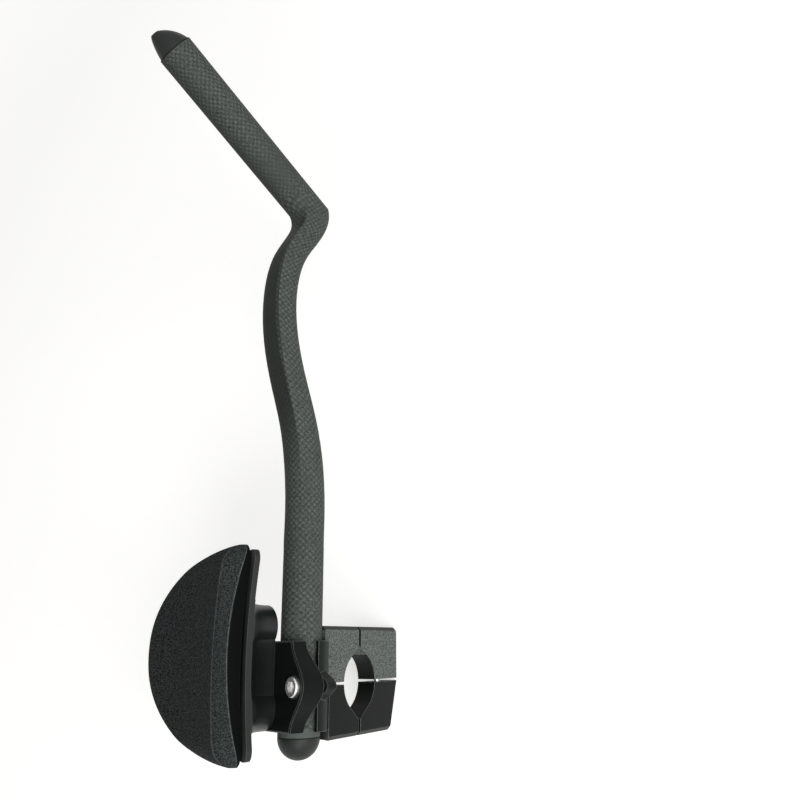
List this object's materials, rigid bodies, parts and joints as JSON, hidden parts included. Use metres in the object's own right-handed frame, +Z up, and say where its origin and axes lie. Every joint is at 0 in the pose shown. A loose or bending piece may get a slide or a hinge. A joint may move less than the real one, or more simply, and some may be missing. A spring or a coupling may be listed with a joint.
{
  "type": "clip-on aero handlebar extension",
  "caption": "Clip-on triathlon bar, left-hand unit: split base-bar clamp, tube clamp, arm cup with foam pad, and a double-bent carbon extension with an upturned grip.",
  "frame": {"origin": "on the axis of the base bar, in the middle of the base-bar clamp", "axes": "+X along the base bar towards the bicycle's centre line, +Y forward along the extension tube, +Z up"},
  "size_m": [0.1092, 0.3958, 0.1921],
  "materials": {
    "carbon": "matte woven carbon fibre",
    "anodised": "satin black anodised, lightly sandblasted",
    "steel": "bright zinc plated",
    "cup_plastic": "semi-gloss moulded",
    "foam": "fine knit over foam",
    "plug_plastic": "satin moulded"
  },
  "bodies": {
    "root": {"extension_bar": "carbon", "tip_plug": "plug_plastic", "rear_plug": "plug_plastic", "upper_clamp": "anodised", "bracket": "anodised", "rear_jaw": "anodised", "jaw_bolts": "steel", "pinch_bolt": "steel", "arm_cup": "cup_plastic", "cup_bolts": "steel", "cup_washers": "steel", "arm_pad": "foam"}
  },
  "joints": []
}
